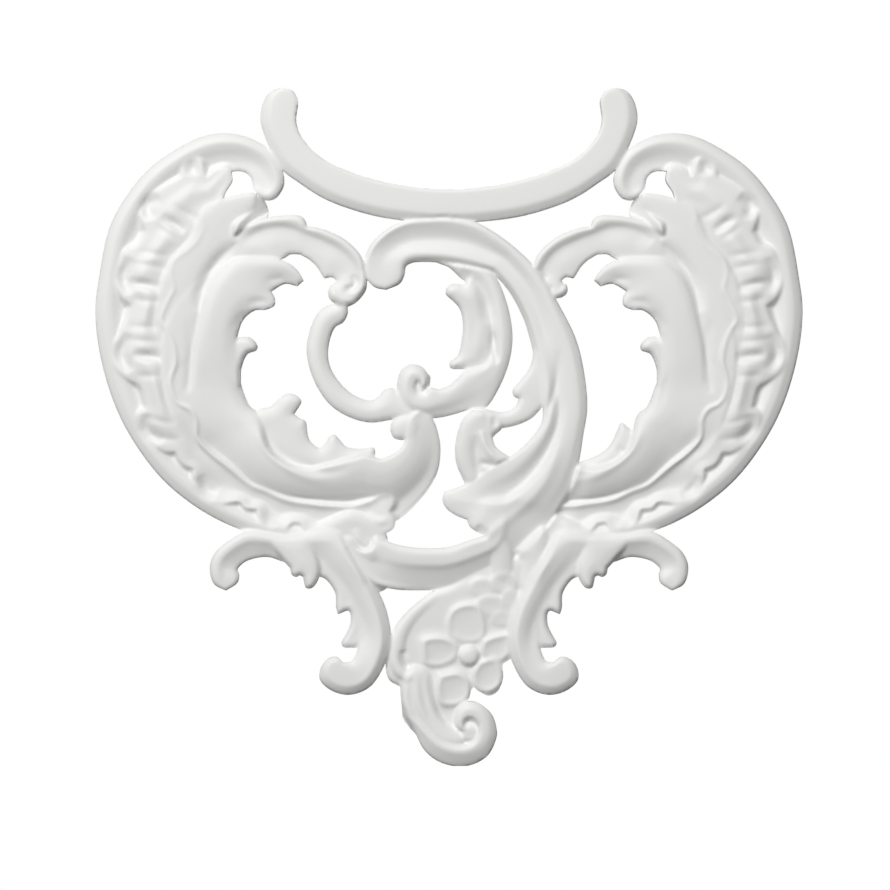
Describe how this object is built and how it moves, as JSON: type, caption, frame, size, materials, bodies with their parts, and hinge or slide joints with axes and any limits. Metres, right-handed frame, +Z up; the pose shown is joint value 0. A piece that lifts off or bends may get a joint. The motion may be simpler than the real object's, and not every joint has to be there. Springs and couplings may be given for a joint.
{
  "type": "moulding onlay",
  "caption": "Carved rocaille onlay with paired C scrolls, acanthus leaves and a hanging flower spray, pierced right through, with a flat back for fixing on a wall or door.",
  "frame": {"origin": "on the flat back face, on the ornament's vertical centre line where the central scroll crosses it", "axes": "+Z up as it hangs, +X to the right seen from the front, +Y out of the back face towards the wall; the carved front faces -Y"},
  "size_m": [0.3538, 0.0147, 0.3389],
  "materials": {
    "white_primer": "smooth white primer, satin to matt"
  },
  "bodies": {
    "root": {"onlay": "white_primer"}
  },
  "joints": []
}
